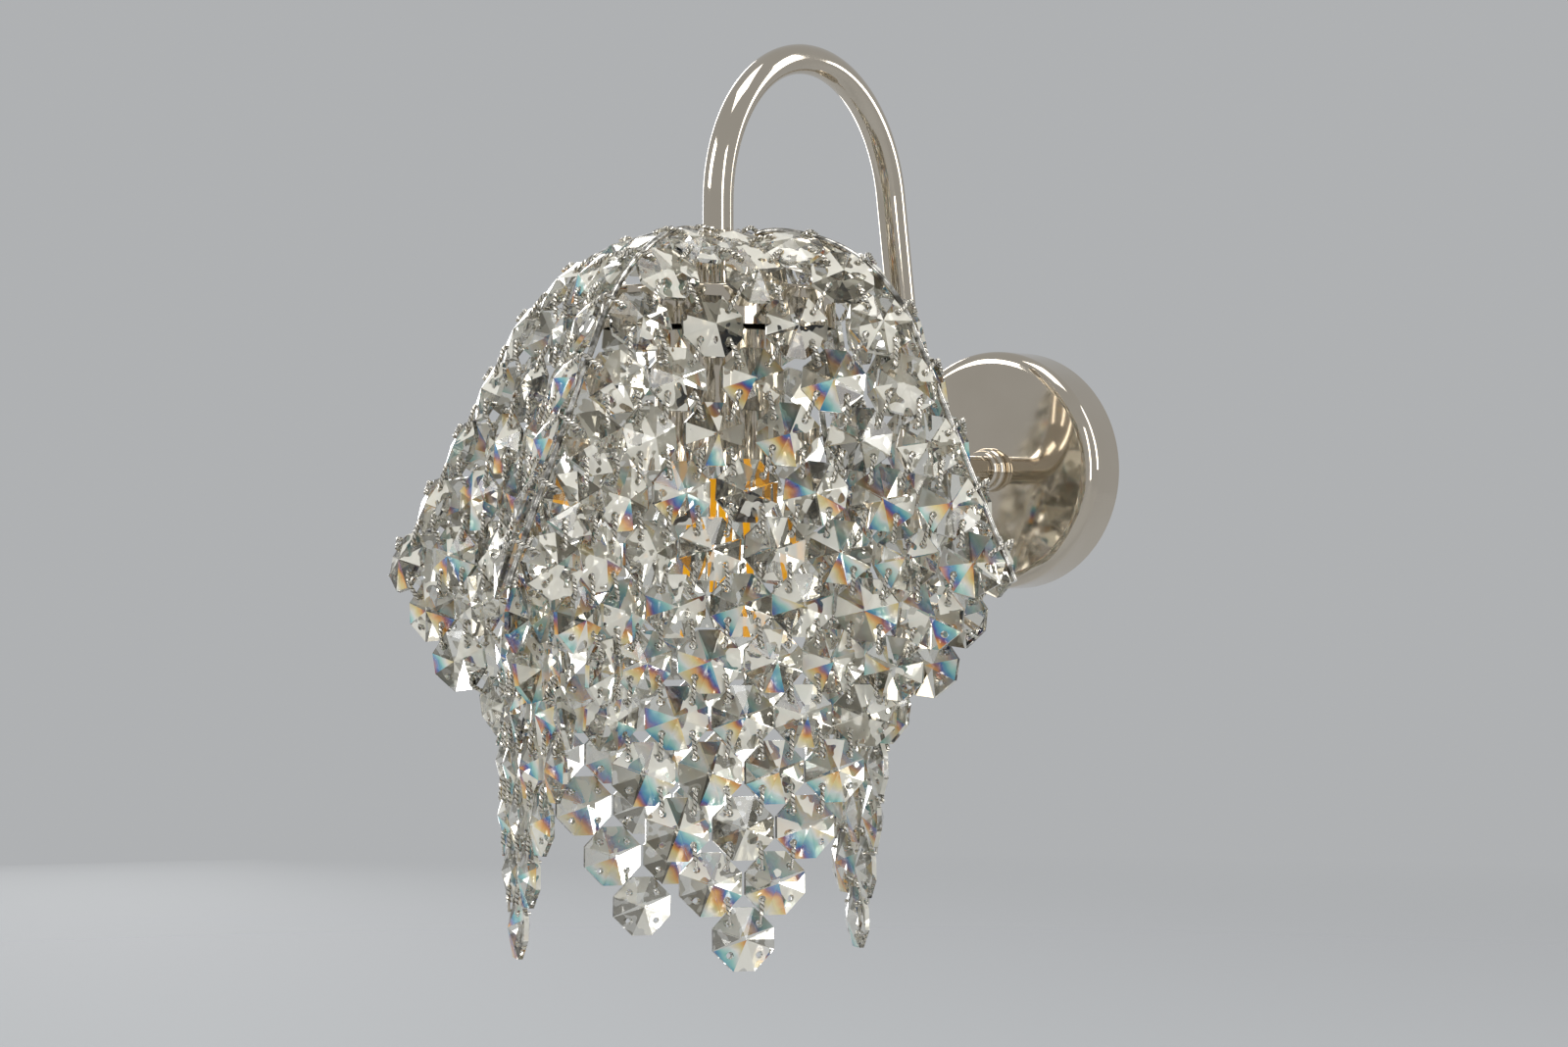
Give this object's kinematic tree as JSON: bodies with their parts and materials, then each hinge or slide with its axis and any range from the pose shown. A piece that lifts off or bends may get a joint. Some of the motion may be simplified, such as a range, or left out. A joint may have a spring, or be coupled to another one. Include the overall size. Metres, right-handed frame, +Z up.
{
  "type": "wall sconce",
  "caption": "Wall sconce with a bent polished arm and a draped net of clipped clear octagon crystals around a screw-in filament bulb",
  "frame": {"origin": "centre of the wall plate's rear rim, on the wall, midway between the bracket's two slotted holes", "axes": "+Z up, +Y into the wall, -Y into the room, +X to the right as seen from the room"},
  "size_m": [0.2286, 0.3035, 0.2989],
  "materials": {
    "polished_nickel": "mirror polish, warm",
    "zinc_steel": "satin",
    "wire_silver": "polished wire",
    "brass": "satin",
    "white_plastic": "matte",
    "cable_sheath": "matte",
    "cut_crystal": "polished facets",
    "clear_glass": "clear",
    "black_glass": "gloss",
    "cap_metal": "satin",
    "solder": "dull",
    "filament_yellow": "matte coating"
  },
  "bodies": {
    "fixture": {"wall_plate": "polished_nickel", "wall_bracket": "zinc_steel", "plate_grub_screws": "zinc_steel", "earth_screw": "brass", "terminal_block": "white_plastic", "terminal_sleeves": "brass", "arm_tube": "polished_nickel", "arm_collar": "polished_nickel", "plate_nipple": "zinc_steel", "plate_washer": "zinc_steel", "plate_nut": "zinc_steel", "inner_cable": "cable_sheath", "lamp_nipple": "zinc_steel", "lamp_washer": "zinc_steel", "lamp_nut": "zinc_steel", "drum_plate": "polished_nickel", "holder_cup": "polished_nickel", "lampholder_body": "white_plastic", "holder_screw_shell": "brass", "holder_contact_disc": "white_plastic", "holder_centre_contact": "brass", "frame_hub": "polished_nickel", "hub_screw": "zinc_steel", "frame_ribs": "wire_silver", "rib_clips": "wire_silver", "dome_crystals_front_right": "cut_crystal", "skirt_crystals_front_right": "cut_crystal", "net_clips_front_right": "wire_silver", "dome_crystals_back_right": "cut_crystal", "skirt_crystals_back_right": "cut_crystal", "net_clips_back_right": "wire_silver", "dome_crystals_back_left": "cut_crystal", "skirt_crystals_back_left": "cut_crystal", "net_clips_back_left": "wire_silver", "dome_crystals_front_left": "cut_crystal", "skirt_crystals_front_left": "cut_crystal", "net_clips_front_left": "wire_silver"},
    "bulb_carrier": {"bulb_tip": "solder", "bulb_insulator": "black_glass"},
    "bulb": {"bulb_cap": "cap_metal", "bulb_glass": "clear_glass", "bulb_stem": "clear_glass", "bulb_filaments": "filament_yellow", "bulb_support_wires": "zinc_steel"},
    "drop_front_right": {"drop_crystals_front_right": "cut_crystal", "drop_clips_front_right": "wire_silver"},
    "tip_front_right": {"tip_crystal_front_right": "cut_crystal"},
    "drop_back_right": {"drop_crystals_back_right": "cut_crystal", "drop_clips_back_right": "wire_silver"},
    "tip_back_right": {"tip_crystal_back_right": "cut_crystal"},
    "drop_back_left": {"drop_crystals_back_left": "cut_crystal", "drop_clips_back_left": "wire_silver"},
    "tip_back_left": {"tip_crystal_back_left": "cut_crystal"},
    "drop_front_left": {"drop_crystals_front_left": "cut_crystal", "drop_clips_front_left": "wire_silver"},
    "tip_front_left": {"tip_crystal_front_left": "cut_crystal"}
  },
  "joints": [
    {"name": "bulb_lift", "type": "slide", "parent": "fixture", "child": "bulb_carrier", "axis": [0, 0, 1], "range_m": [-0.02207, 0]},
    {"name": "bulb_turn", "type": "hinge", "parent": "bulb_carrier", "child": "bulb", "pos_m": [0, -0.184, 0], "axis": [0, 0, 1], "range_deg": [-2160, 0]},
    {"name": "drop_swing_front_right", "type": "hinge", "parent": "fixture", "child": "drop_front_right", "pos_m": [0.03773, -0.22321, -0.12597], "axis": [0.6018, 0.7986, 0], "range_deg": [-12, 12]},
    {"name": "tip_swing_front_right", "type": "hinge", "parent": "drop_front_right", "child": "tip_front_right", "pos_m": [0.03813, -0.22351, -0.14312], "axis": [0.6018, 0.7986, 0], "range_deg": [-12, 12]},
    {"name": "drop_swing_back_right", "type": "hinge", "parent": "fixture", "child": "drop_back_right", "pos_m": [0.02661, -0.14407, -0.12597], "axis": [-0.7986, 0.6018, 0], "range_deg": [-12, 12]},
    {"name": "tip_swing_back_right", "type": "hinge", "parent": "drop_back_right", "child": "tip_back_right", "pos_m": [0.02691, -0.14367, -0.14312], "axis": [-0.7986, 0.6018, 0], "range_deg": [-12, 12]},
    {"name": "drop_swing_back_left", "type": "hinge", "parent": "fixture", "child": "drop_back_left", "pos_m": [-0.05253, -0.15519, -0.12597], "axis": [-0.6018, -0.7986, 0], "range_deg": [-12, 12]},
    {"name": "tip_swing_back_left", "type": "hinge", "parent": "drop_back_left", "child": "tip_back_left", "pos_m": [-0.05293, -0.15489, -0.14312], "axis": [-0.6018, -0.7986, 0], "range_deg": [-12, 12]},
    {"name": "drop_swing_front_left", "type": "hinge", "parent": "fixture", "child": "drop_front_left", "pos_m": [-0.04141, -0.23433, -0.12597], "axis": [0.7986, -0.6018, 0], "range_deg": [-12, 12]},
    {"name": "tip_swing_front_left", "type": "hinge", "parent": "drop_front_left", "child": "tip_front_left", "pos_m": [-0.04171, -0.23473, -0.14312], "axis": [0.7986, -0.6018, 0], "range_deg": [-12, 12]}
  ],
  "couplings": [
    {"joint": "bulb_lift", "follows": "bulb_turn", "m_per_rad": 0.00057751}
  ]
}
